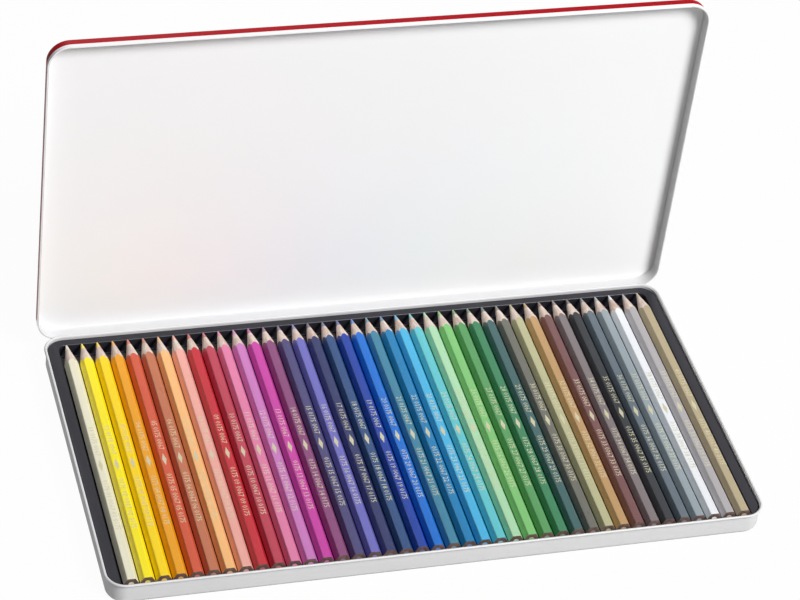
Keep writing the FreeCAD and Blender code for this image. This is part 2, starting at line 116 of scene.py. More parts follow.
# Lacquer colour of each pencil from left to right, as a screen shows it
LACQUERS = {
    "ivory": "E6E2C8", "lemon": "FAE612", "golden_yellow": "FAD404", "orange": "E89E10",
    "vermilion": "CE5639", "russet": "BC704F", "apricot": "F2B878", "salmon": "E8A69A",
    "scarlet": "BE2431", "crimson": "B63C50", "pink": "DA7AA2", "lilac": "C476B8",
    "magenta": "C23C9E", "plum": "844474", "slate_violet": "464272", "periwinkle": "6A68B6",
    "indigo": "283060", "prussian": "284A7A", "ultramarine": "0E3A9A", "cobalt": "086AC8",
    "dark_teal": "387C98", "cerulean": "0678AE", "sky_blue": "44AEDA", "turquoise": "5CBEC6",
    "pale_mint": "A6D4AA", "grass_green": "7ABE70", "mid_green": "529658", "emerald": "347E54",
    "slate_green": "3A5E5E", "olive_grey": "68685F", "khaki": "B4B28A", "ochre": "B89262",
    "burgundy": "724A4A", "taupe": "7A7072", "black": "24282E", "blue_grey": "5E6A74",
    "grey_blue": "929EA4", "white": "E8EAEE", "silver": "AEAAAC", "gold": "B4A686",
}


def screen_colour(code):
    """Linear colour from the six digits that a screen uses."""
    shown = Color(level / 255 for level in bytes.fromhex(code))
    return tuple(shown.from_srgb_to_scene_linear())


def length(label, value, words):
    """A length that a user may change, in metres."""
    return bpy.props.FloatProperty(name=label, description=words, default=value,
                                   unit="LENGTH", precision=5)


def share(label, value, words):
    """A share from nothing to all."""
    return bpy.props.FloatProperty(name=label, description=words, default=value, min=0, max=1,
                                   subtype="FACTOR")


def turn(label, degrees, words):
    """An angle that a user may change."""
    return bpy.props.FloatProperty(name=label, description=words, default=math.radians(degrees),
                                   subtype="ANGLE")


def amount(label, value, words):
    """A plain number that a user may change."""
    return bpy.props.FloatProperty(name=label, description=words, default=value)


def tint(label, code, words):
    """A colour that a user may change."""
    return bpy.props.FloatVectorProperty(name=label, description=words, default=screen_colour(code),
                                         size=3, min=0, max=1, subtype="COLOR")


def place(label, point, words):
    """A point that a user may move."""
    return bpy.props.FloatVectorProperty(name=label, description=words, default=point, size=3,
                                         subtype="TRANSLATION", unit="LENGTH")


class TinLook(bpy.types.PropertyGroup):
    """Sizes and colour of the pressed base."""
    bead_radius: length("Bead radius", 0.00065, "Bead curled outwards round the rim")
    bead_out: length("Bead overhang", 0.00045, "Middle of the bead outside the face of the wall")
    corner: length("Corner radius", 0.0095, "Plan radius of the wall corners")
    floor_round: length("Floor radius", 0.0022, "Outside radius between wall and floor")
    sheet: length("Sheet", 0.0004, "Thickness of the pressed metal")
    colour: tint("Metal", "D7D7D8", "Satin silver lacquer on the tin plate")


class LidLook(bpy.types.PropertyGroup):
    """Sizes and colours of the lid."""
    corner: length("Corner radius", 0.01135, "Plan radius of the skirt corners")
    edge_round: length("Edge radius", 0.0014, "Outside radius between panel and skirt")
    sheet: length("Sheet", 0.0004, "Thickness of the pressed metal")
    hem_height: length("Hem height", 0.0023, "Sheet folded out and up round the rim")
    hem_sheet: length("Hem thickness", 0.0003, "How far the folded hem stands out")
    hinge_offset: length("Hinge offset", 0.079, "Middle of the lid to the middle of a hinge")
    notch_half: length("Notch half length", 0.0079, "Room for the knuckles, to each side")
    notch_rise: length("Notch rise", 0.00152, "Room for the knuckles, from the rim")
    inside: tint("Inside", "F2F2F3", "White lacquer on the inside of the panel and on the hem")
    # Skirt inside and its depth: painted shade, a darker grey inside the skirt where shade falls, not a
    # thinner lacquer
    skirt: tint("Skirt inside", "D2D2D3", "Thinner lacquer inside the skirt")
    thinning: length("Thinning", 0.0003, "Depth over which the white lacquer thins out")
    outside: tint("Outside", "A60E1A", "Red lacquer outside")


class HingeLook(bpy.types.PropertyGroup):
    """Colour of the hinges."""
    colour: tint("Steel", "C8C8CA", "Plated steel of leaves and wire")


class TrayLook(bpy.types.PropertyGroup):
    """Sizes and colour of the formed tray."""
    corner: length("Corner radius", 0.00875, "Plan radius of the outer corners")
    side_border: length("Side border", 0.0059, "Well to the side of the tray")
    back_border: length("Back border", 0.00455, "Well to the back of the tray")
    well_corner: length("Well corner", 0.004, "Plan radius of the back corners of the well")
    trough_width: length("Trough width", 0.00495, "Deep trough behind the raised bed")
    wall: length("Sheet", 0.0008, "Thickness of the formed sheet")
    edge_round: length("Edge radius", 0.0006, "Rounding of the formed edges")
    rib_width: length("Rib width", 0.001, "Low rib along the end of the bed")
    rib_height: length("Rib height", 0.0005, "Rib above the bed")
    rib_round: length("Rib edge radius", 0.0004, "Rounding along the rib")
    colour: tint("Plastic", "27272E", "Satin black plastic")


class PencilLook(bpy.types.PropertyGroup):
    """Sizes and shared colours of the pencils."""
    edge_round: length("Edge radius", 0.00035, "Rounding of the long edges")
    cone_length: length("Cone length", 0.014, "Tip to the middle of a flat")
    tip_radius: length("Tip radius", 0.0004, "Blunt tip")
    core_radius: length("Core radius", 0.0014, "Coloured core")
    core_sink: length("Core recess", 0.00012, "Core below the sawn end")
    foil_sheet: length("Foil thickness", 0.00002, "Pressed foil above the lacquer")
    far_figures: length("Far figures", 0.1085, "Flat end to the figures near the tip")
    near_figures: length("Near figures", 0.0693, "Flat end to the figures near the flat end")
    figure_size: length("Figure size", 0.0039, "Size of the pressed figures")
    diamond: length("Diamond", 0.0797, "Flat end to the middle of the diamond")
    diamond_half: length("Diamond half width", 0.0011, "Half of the diamond, across the pencil")
    diamond_stretch: amount("Diamond stretch", 4.0, "Length of the diamond for its width")
    wood: tint("Wood", "DFD0C4", "Sharpened wood")
    grain: tint("Grain", "C0A598", "Darker grain of the wood")
    # Sawn end colours: darker end grain with painted shade on top, far darker than the cut wood
    end_wood: tint("End wood", "6C5650", "Sawn end of the wood")
    end_grain: tint("End grain", "46342F", "Darker grain of the sawn end")
    foil: tint("Foil", "DCD6B4", "Pressed foil")
    core_chalk: share("Core chalk", 0.25, "How far the core pales towards the wood")


class PencilColours(bpy.types.PropertyGroup):
    """Lacquer colour of each pencil."""
    __annotations__ = {name: tint(name.replace("_", " ").capitalize(), code, "Lacquer and core colour")
                       for name, code in LACQUERS.items()}


class StageLook(bpy.types.PropertyGroup):
    """Camera, lights and floor."""
    target: place("Target", (0.03085, 0.11037, 0.0), "Point in the middle of the view")
    azimuth: turn("Azimuth", -19.849, "Camera round the object, from straight ahead")
    elevation: turn("Elevation", 39.602, "Camera above the floor")
    roll: turn("Roll", 7.804, "Camera tilt about its own axis")
    distance: length("Distance", 1.6909, "Camera to target")
    lens: amount("Lens", 140.37, "Focal length in millimetres, on a sensor 36 mm wide")
    key_place: place("Key light", (1.32, -1.99, 2.6), "Large soft light, front right")
    key_power: amount("Key power", 154.0, "Watts of the key light")
    key_size: length("Key size", 1.2, "Side of the key light")
    back_place: place("Back light", (0.0, 2.4, 1.5), "Weak soft light on the back of the lid")
    back_power: amount("Back power", 26.0, "Watts of the back light")
    back_size: length("Back size", 0.8, "Side of the back light")
    ambient: share("Ambient", 0.04, "Even light from all round")
    floor_half: length("Floor half size", 4.0, "Middle of the floor to its edge")
    floor_drop: length("Floor drop", 0.0001, "Floor below the underside")
    floor: tint("Floor", "CCCCCC", "Plain pale floor")
    floor_glow: share("Floor glow", 0.97, "How much of the floor shows as plain white")


class Wire:
    """A socket whose arithmetic adds math nodes."""

    def __init__(self, finish, socket):
        self.finish = finish
        self.socket = socket

    def math(self, operation, first, second):
        """Add one math node."""
        return self.finish.node("Math", {0: first, 1: second}, operation=operation)

    def __add__(self, other):
        return self.math("ADD", self, other)

    def __sub__(self, other):
        return self.math("SUBTRACT", self, other)

    def __rsub__(self, other):
        return self.math("SUBTRACT", other, self)

    def __mul__(self, other):
        return self.math("MULTIPLY", self, other)

    def __or__(self, other):
        return self.math("MAXIMUM", self, other)

    __radd__ = __add__
    __rmul__ = __mul__
    __ror__ = __or__


class Finish:
    """A node tree under construction."""

    def __init__(self, tree):
        self.tree = tree
        tree.nodes.clear()

    def node(self, kind, inputs=None, output=0, stops=(), **settings):
        """Add a node, set it up, fill or link its inputs and return one output."""
        made = self.tree.nodes.new("ShaderNode" + kind)
        for key, value in settings.items():
            setattr(made, key, value)
        for number, (position, colour) in enumerate(stops):
            made.color_ramp.elements[number].position = position
            made.color_ramp.elements[number].color = (*colour, 1)
        for key, value in (inputs or {}).items():
            socket = made.inputs[key]
            if isinstance(value, Wire):
                self.tree.links.new(value.socket, socket)
            elif socket.type == "RGBA" and len(value) == 3:
                socket.default_value = (*value, 1)
            else:
                socket.default_value = value
        return Wire(self, made.outputs[output] if len(made.outputs) else None)

    def mix(self, factor, first, second):
        """Blend two colours."""
        return self.node("Mix", {0: factor, 6: first, 7: second}, output=2, data_type="RGBA")

    def noise(self, scale, stretch=(1, 1, 1), detail=2.0):
        """Noise over the piece, stretched along its axes."""
        spot = self.node("TexCoord", output="Object")
        spot = self.node("Mapping", {"Vector": spot, "Scale": stretch})
        return self.node("TexNoise", {"Vector": spot, "Scale": scale, "Detail": detail})

    def bump(self, height, distance, strength=1.0):
        """Surface relief in metres."""
        return self.node("Bump", {"Height": height, "Distance": distance, "Strength": strength},
                         output="Normal")

    def surface(self, **sockets):
        """Finish with one principled surface."""
        inputs = {key.replace("_", " "): value for key, value in sockets.items()}
        shader = self.node("BsdfPrincipled", inputs)
        self.node("OutputMaterial", {"Surface": shader})


def new_finish(name):
    """A fresh material and its node tree."""
    material = bpy.data.materials.new(name)
    material.use_nodes = True
    return material, Finish(material.node_tree)


def scaled(colour, factor):
    """A colour made lighter or darker."""
    return tuple(min(channel * factor, 1) for channel in colour)


def blended(first, second, part):
    """A colour between two others."""
    return tuple(one + (other - one) * part for one, other in zip(first, second))


def satin_lacquer(name, colour):
    """Even satin lacquer on pressed metal, with a faint ripple."""
    material, finish = new_finish(name)
    cloud = finish.noise(scale=22.0)
    finish.surface(
        Base_Color=finish.mix(cloud, scaled(colour, 0.985), scaled(colour, 1.01)),
        Roughness=cloud * 0.08 + 0.46,
        Specular_IOR_Level=0.04,
        Normal=finish.bump(finish.noise(scale=900.0), distance=0.000006),
    )
    return material


def thinning_lacquer(name, panel_colour, shaded_colour, panel, depth):
    """Satin lacquer with painted shade: the panel colour darkens across its rounded edge to a grey in the
    skirt.
    """
    material, finish = new_finish(name)
    cloud = finish.noise(scale=22.0)
    spot = finish.node("TexCoord", output="Object")
    across = finish.node("SeparateXYZ", {0: spot}, output="Y")
    # Painted shade mask: none on the panel, full in the skirt
    unshaded_share = finish.node("MapRange", {"Value": across, "From Min": panel - depth, "From Max": panel},
                        interpolation_type="SMOOTHSTEP")
    colour = finish.mix(1 - unshaded_share, panel_colour, shaded_colour)
    finish.surface(
        Base_Color=finish.mix(cloud * 0.03, colour, scaled(shaded_colour, 0.9)),
        Roughness=cloud * 0.08 + 0.36,
        Specular_IOR_Level=0.06,
        Normal=finish.bump(finish.noise(scale=900.0), distance=0.000006),
    )
    return material


def tin_metal(name, colour):
    """Satin silver lacquer with a fine rolled grain."""
    material, finish = new_finish(name)
    grain = finish.noise(scale=700.0, stretch=(0.03, 0.03, 1.0), detail=4.0)
    cloud = finish.noise(scale=30.0)
    finish.surface(
        Base_Color=finish.mix(grain * 0.5 + cloud * 0.5, scaled(colour, 0.94), scaled(colour, 1.03)),
        Metallic=0.05,
        Roughness=grain * 0.1 + 0.34,
        Specular_IOR_Level=0.03,
        Normal=finish.bump(grain, distance=0.000004),
    )
    return material


def plated_steel(name, colour):
    """Bright plated steel with drawn lines."""
    material, finish = new_finish(name)
    lines = finish.noise(scale=1500.0, stretch=(0.04, 1.0, 1.0), detail=3.0)
    finish.surface(
        Base_Color=finish.mix(lines, scaled(colour, 0.86), scaled(colour, 1.04)),
        Metallic=1.0,
        Roughness=lines * 0.15 + 0.22,
        Normal=finish.bump(lines, distance=0.000006),
    )
    return material


def tray_plastic(name, colour):
    """Black formed sheet with a fine grain."""
    material, finish = new_finish(name)
    grain = finish.noise(scale=2600.0, detail=3.0)
    cloud = finish.noise(scale=60.0)
    finish.surface(
        Base_Color=finish.mix(cloud, scaled(colour, 0.85), scaled(colour, 1.2)),
        Roughness=grain * 0.1 + 0.26,
        Specular_IOR_Level=0.3,
        Normal=finish.bump(grain, distance=0.00001, strength=0.5),
    )
    return material


def pencil_lacquer(name, colour):
    """Glossy lacquer drawn along the pencil."""
    material, finish = new_finish(name)
    streaks = finish.noise(scale=1100.0, stretch=(1.0, 0.02, 1.0), detail=3.0)
    cloud = finish.noise(scale=120.0, stretch=(1.0, 0.3, 1.0))
    finish.surface(
        Base_Color=finish.mix(streaks * 0.6 + cloud * 0.4, scaled(colour, 0.9), scaled(colour, 1.08)),
        Roughness=cloud * 0.12 + 0.24,
        Normal=finish.bump(streaks, distance=0.000012),
    )
    return material


def pencil_core(name, colour):
    """Pigment core, waxy and slightly crumbled."""
    material, finish = new_finish(name)
    crumb = finish.noise(scale=2200.0, detail=4.0)
    finish.surface(
        Base_Color=finish.mix(crumb, scaled(colour, 0.82), scaled(colour, 1.12)),
        Roughness=crumb * 0.2 + 0.42,
        Normal=finish.bump(crumb, distance=0.00003),
    )
    return material


def cut_wood(name, light, dark):
    """Sharpened wood with grain along the pencil."""
    material, finish = new_finish(name)
    grain = finish.noise(scale=850.0, stretch=(1.0, 0.07, 1.0), detail=5.0)
    bands = finish.noise(scale=140.0, stretch=(1.0, 0.25, 1.0))
    streak = grain * 0.65 + bands * 0.35
    shade = finish.node("ValToRGB", {"Fac": streak}, stops=((0.36, dark), (0.6, light)))
    finish.surface(
        Base_Color=shade,
        Roughness=grain * 0.2 + 0.55,
        Normal=finish.bump(grain, distance=0.00006, strength=0.6),
    )
    return material


def pressed_foil(name, colour):
    """Metal foil pressed into the lacquer."""
    material, finish = new_finish(name)
    crease = finish.noise(scale=3000.0)
    finish.surface(
        Base_Color=finish.mix(crease, scaled(colour, 0.8), scaled(colour, 1.05)),
        Metallic=0.85,
        Roughness=crease * 0.2 + 0.22,
    )
    return material


def clear_selection():
    """Back to object mode with nothing selected."""
    if bpy.context.mode != "OBJECT":
        bpy.ops.object.mode_set(mode="OBJECT")
    bpy.ops.object.select_all(action="DESELECT")


def activate(piece, *others):
    """Select some pieces, the first of them active."""
    clear_selection()
    for each in (piece, *others):
        each.select_set(True)
    bpy.context.view_layer.objects.active = piece


def choose(kind, test):
    """In edit mode, select the vertices, edges or faces that pass a test."""
    bpy.ops.mesh.select_mode(type=kind)
    bpy.ops.mesh.select_all(action="DESELECT")
    data = bpy.context.edit_object.data
    mesh = bmesh.from_edit_mesh(data)
    for element in {"VERT": mesh.verts, "EDGE": mesh.edges, "FACE": mesh.faces}[kind]:
        if test(element):
            element.select_set(True)
    mesh.select_flush_mode()
    bmesh.update_edit_mesh(data)


def level_with(axis, value):
    """A test for edges that lie in one plane."""
    return lambda edge: all(abs(corner.co[axis] - value) < NEAR for corner in edge.verts)


def middle(element):
    """Middle of an edge or a face."""
    return sum((corner.co for corner in element.verts), Vector()) / len(element.verts)


def paint_chosen(slot):
    """Give the selected faces one of the piece's materials."""
    bpy.context.object.active_material_index = slot
    bpy.ops.object.material_slot_assign()


def new_piece(name):
    """Name the primitive that was just added and open it for editing."""
    piece = bpy.context.object
    piece.name = name
    piece.data.name = name
    bpy.ops.object.mode_set(mode="EDIT")
    bpy.ops.mesh.select_all(action="SELECT")
    return piece


def rounded_plate(name, low, high, level, near_corner, far_corner=None):
    """A flat plate with round corners, in edit mode; the far corners may have their own radius."""
    clear_selection()
    bpy.ops.mesh.primitive_plane_add(size=1)
    piece = new_piece(name)
    centre = (low[1] + high[1]) / 2
    bpy.ops.transform.resize(value=(high[0] - low[0], high[1] - low[1], 1))
    bpy.ops.transform.translate(value=((low[0] + high[0]) / 2, centre, level))
    for radius, side in ((near_corner, -1), (far_corner or near_corner, 1)):
        choose("VERT", lambda corner: (corner.co.y - centre) * side > 0 and len(corner.link_edges) == 2)
        bpy.ops.mesh.bevel(offset=radius, segments=CORNER_STEPS, affect="VERTICES")
    bpy.ops.mesh.select_all(action="SELECT")
    return piece


def raise_plate(height):
    """Extrude the selected plate into a block."""
    bpy.ops.mesh.extrude_region_move(TRANSFORM_OT_translate={"value": (0, 0, height)})


def drop_face(test):
    """Open a block by taking away one of its faces."""
    choose("FACE", test)
    bpy.ops.mesh.delete(type="ONLY_FACE")


def round_edges(test, radius, steps=EDGE_STEPS):
    """Round the edges that pass a test."""
    choose("EDGE", test)
    bpy.ops.mesh.bevel(offset=radius, segments=steps, affect="EDGES")


def tidy_normals():
    """Turn all faces of the mesh outwards."""
    bpy.ops.mesh.select_all(action="SELECT")
    bpy.ops.mesh.normals_make_consistent(inside=False)


def thicken(piece, sheet, even=True):
    """Give a sheet its thickness, inwards."""
    activate(piece)
    bpy.ops.object.modifier_add(type="SOLIDIFY")
    wall = piece.modifiers[-1]
    wall.thickness = sheet
    wall.offset = -1
    wall.use_even_offset = even
    bpy.ops.object.modifier_apply(modifier=wall.name)


def carve(piece, tool, operation="DIFFERENCE"):
    """Cut a piece with another one, which is used up."""
    activate(piece)
    bpy.ops.object.modifier_add(type="BOOLEAN")
    cut = piece.modifiers[-1]
    cut.operation = operation
    cut.solver = "EXACT"
    cut.object = tool
    bpy.ops.object.modifier_apply(modifier=cut.name)
    bpy.data.objects.remove(tool)


def box_tool(low, high):
    """A plain block to cut with."""
    clear_selection()
    low, high = Vector(low), Vector(high)
    bpy.ops.mesh.primitive_cube_add(size=1, location=(low + high) / 2, scale=high - low)
    bpy.ops.object.transform_apply()
    return bpy.context.object


def settle(piece, *materials):
    """Smooth a finished piece and give it its materials."""
    activate(piece)
    for material in materials:
        piece.data.materials.append(material)
    bpy.ops.object.shade_smooth_by_angle(angle=SMOOTH_ANGLE)


def rim_tube(name, low, high, level, corner, radius):
    """A round bead along a rounded rectangle."""
    piece = rounded_plate(name, low, high, level, corner)
    bpy.ops.mesh.delete(type="ONLY_FACE")
    bpy.ops.object.mode_set(mode="OBJECT")
    bpy.ops.object.convert(target="CURVE")
    tube = bpy.context.object
    tube.data.bevel_depth = radius
    tube.data.bevel_resolution = EDGE_STEPS
    bpy.ops.object.convert(target="MESH")
    return bpy.context.object


class PENCILSET_OT_tin_base(bpy.types.Operator):
    """Pressed pan with a bead curled outwards round its rim"""
    bl_idname = "pencil_set.tin_base"
    bl_label = "Tin base"

    def execute(self, context):
        look = context.scene.pencil_set_tin
        rim = Vector((look.bead_radius, look.bead_radius))
        step = Vector((look.bead_out, look.bead_out))
        low, high = BASE_LOW.xy + rim, BASE_HIGH.xy - rim
        bead_level = BASE_HIGH.z - look.bead_radius
        pan = rounded_plate("tin_base_pan", low + step, high - step, 0, look.corner)
        raise_plate(bead_level)
        drop_face(lambda face: face.normal.z > FACING and middle(face).z > bead_level / 2)
        round_edges(level_with(2, 0), look.floor_round)
        tidy_normals()
        thicken(pan, look.sheet)
        bead = rim_tube("tin_base_bead", low, high, bead_level, look.corner + look.bead_out,
                        look.bead_radius)
        activate(pan, bead)
        bpy.ops.object.join()
        settle(pan, tin_metal("satin_tin_plate", look.colour))
        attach(pan, "base")
        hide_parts("tin_base")
        return {"FINISHED"}


class PENCILSET_OT_tin_lid(bpy.types.Operator):
    """Pressed lid, white inside and red outside, with a folded hem"""
    bl_idname = "pencil_set.tin_lid"
    bl_label = "Tin lid"

    def execute(self, context):
        look = context.scene.pencil_set_lid
        height = LID_HIGH.y - HINGE_AXIS.y
        span = LID_HIGH.z - HINGE_AXIS.z
        half = LID_HIGH.x
        shell = rounded_plate("tin_lid_shell", (-half, 0), (half, span), 0, look.corner)
        raise_plate(height)
        drop_face(lambda face: abs(middle(face).z) < NEAR)
        round_edges(level_with(2, height), look.edge_round)
        tidy_normals()
        thicken(shell, look.sheet)
        for side in (-1, 1):
            centre = side * look.hinge_offset
            carve(shell, box_tool((centre - look.notch_half, -look.sheet, -look.sheet),
                                  (centre + look.notch_half, 2 * look.sheet, look.notch_rise)))
        outside = self.outer(look, half, span, height)
        self.fold_hem(look, shell, outside)
        panel = LID_HIGH.y - look.sheet
        # The inside lacquer carries painted shade in the skirt and its rounded edge
        inside = thinning_lacquer("lid_inside_lacquer", look.inside, look.skirt, panel, look.thinning)
        settle(shell, inside, satin_lacquer("lid_outside_lacquer", look.outside),
               satin_lacquer("lid_hem_lacquer", look.inside))
        self.paint_lid(look, outside)
        # The lid is built lying on its rim: turned upright, its panel looks to the back
        upright = Matrix(((-1, 0, 0), (0, 0, 1), (0, 1, 0))).to_4x4()
        shell.matrix_world = Matrix.Translation(HINGE_AXIS) @ upright
        bpy.ops.object.transform_apply()
        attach(shell, "lid")
        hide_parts("tin_lid")
        return {"FINISHED"}

    def outer(self, look, half, span, height):
        """A test for points on the outside of the shell."""
        flat_half = half - look.corner
        centre = span / 2
        flat_span = centre - look.corner

        def test(point):
            across = max(abs(point.x) - flat_half, 0)
            along = max(abs(point.y - centre) - flat_span, 0)
            out = max(math.hypot(across, along) - look.corner + look.edge_round, 0)
            up = max(point.z - height + look.edge_round, 0)
            return math.hypot(out, up) > look.edge_round - look.sheet / 2

        return test

    def fold_hem(self, look, shell, outside):
        """Stand the sheet out a little where it is folded round the rim."""
        activate(shell)
        bpy.ops.object.mode_set(mode="EDIT")
        bpy.ops.mesh.select_all(action="SELECT")
        bpy.ops.mesh.bisect(plane_co=(0, 0, look.hem_height), plane_no=(0, 0, 1))
        clear = look.hinge_offset + look.notch_half + look.hem_height
        choose("FACE", lambda face: outside(middle(face)) and middle(face).y < NEAR)
        for side in (-1, 1):
            bpy.ops.mesh.bisect(plane_co=(side * clear, 0, 0), plane_no=(1, 0, 0))

        def at_hinges(face):
            return middle(face).y < NEAR and abs(middle(face).x) < clear

        choose("FACE", lambda face: outside(middle(face)) and middle(face).z < look.hem_height
               and abs(face.normal.z) < STEEP and not at_hinges(face))
        bpy.ops.mesh.extrude_region_shrink_fatten(TRANSFORM_OT_shrink_fatten={"value": look.hem_sheet})
        bpy.ops.object.mode_set(mode="OBJECT")

    def paint_lid(self, look, outside):
        """White inside, red on the outside and white again on the folded hem."""
        bpy.ops.object.mode_set(mode="EDIT")
        fold = look.hem_height + NEAR
        choose("FACE", lambda face: not outside(middle(face)))
        paint_chosen(LID_INSIDE)
        choose("FACE", lambda face: outside(middle(face)) and middle(face).z > fold)
        paint_chosen(LID_OUTSIDE)
        choose("FACE", lambda face: outside(middle(face)) and middle(face).z < fold)
        paint_chosen(LID_HEM)
        bpy.ops.object.mode_set(mode="OBJECT")


class PENCILSET_OT_hinges(bpy.types.Operator):
    """Plated finish for the hinge leaves and wires"""
    bl_idname = "pencil_set.hinges"
    bl_label = "Hinges"

    def execute(self, context):
        steel = plated_steel("plated_hinge_steel", context.scene.pencil_set_hinge.colour)
        for name, node in frame["nodes"].items():
            if name.startswith("hinge_"):
                for slot in node.material_slots:
                    slot.material = steel
        return {"FINISHED"}


class PENCILSET_OT_tray(bpy.types.Operator):
    """Formed sheet with a border, a raised bed and a deep trough behind it"""
    bl_idname = "pencil_set.tray"
    bl_label = "Tray"

    def execute(self, context):
        look = context.scene.pencil_set_tray
        low, high = TRAY_LOW, TRAY_HIGH
        rib_level = PENCIL_BED + look.rib_height
        tray = rounded_plate("tray_sheet", low.xy, high.xy, low.z, look.corner)
        raise_plate(high.z - low.z)
        tidy_normals()
        bpy.ops.object.mode_set(mode="OBJECT")
        carve(tray, self.make_well(look, low, high, rib_level))
        activate(tray)
        bpy.ops.object.mode_set(mode="EDIT")
        choose("VERT", lambda corner: corner.co.y < low.y + look.corner)
        bpy.ops.mesh.remove_doubles(threshold=look.edge_round / 2)
        drop_face(lambda face: face.normal.z < -FACING and middle(face).z < low.z + look.wall / 2)
        round_edges(level_with(2, high.z), look.edge_round)
        on_rib = level_with(2, rib_level)
        round_edges(lambda edge: on_rib(edge) and level_with(1, edge.verts[0].co.y)(edge), look.rib_round)
        tidy_normals()
        thicken(tray, look.wall, even=False)
        settle(tray, tray_plastic("satin_black_sheet", look.colour))
        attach(tray, "base")
        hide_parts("tray")
        return {"FINISHED"}

    def make_well(self, look, low, high, rib_level):
        """The space over the bed, open to the front, with a rib and the deep trough at its back."""
        half, back = high.x - look.side_border, high.y - look.back_border
        trough_front = back - look.trough_width
        rib_front = trough_front - look.rib_width
        space = rounded_plate("well_space", (-half, low.y - look.corner), (half, back), rib_level,
                              look.edge_round, look.well_corner)
        for cut in (rib_front, trough_front):
            bpy.ops.mesh.select_all(action="SELECT")
            bpy.ops.mesh.bisect(plane_co=(0, cut, 0), plane_no=(0, 1, 0))
        bpy.ops.mesh.select_all(action="SELECT")
        raise_plate(high.z)
        for side, edge, floor in ((-1, rib_front, PENCIL_BED), (1, trough_front, low.z + look.wall)):
            choose("FACE", lambda face: abs(middle(face).z - rib_level) < NEAR
                   and (middle(face).y - edge) * side > 0)
            raise_plate(floor - rib_level)
        tidy_normals()
        bpy.ops.object.mode_set(mode="OBJECT")
        return space


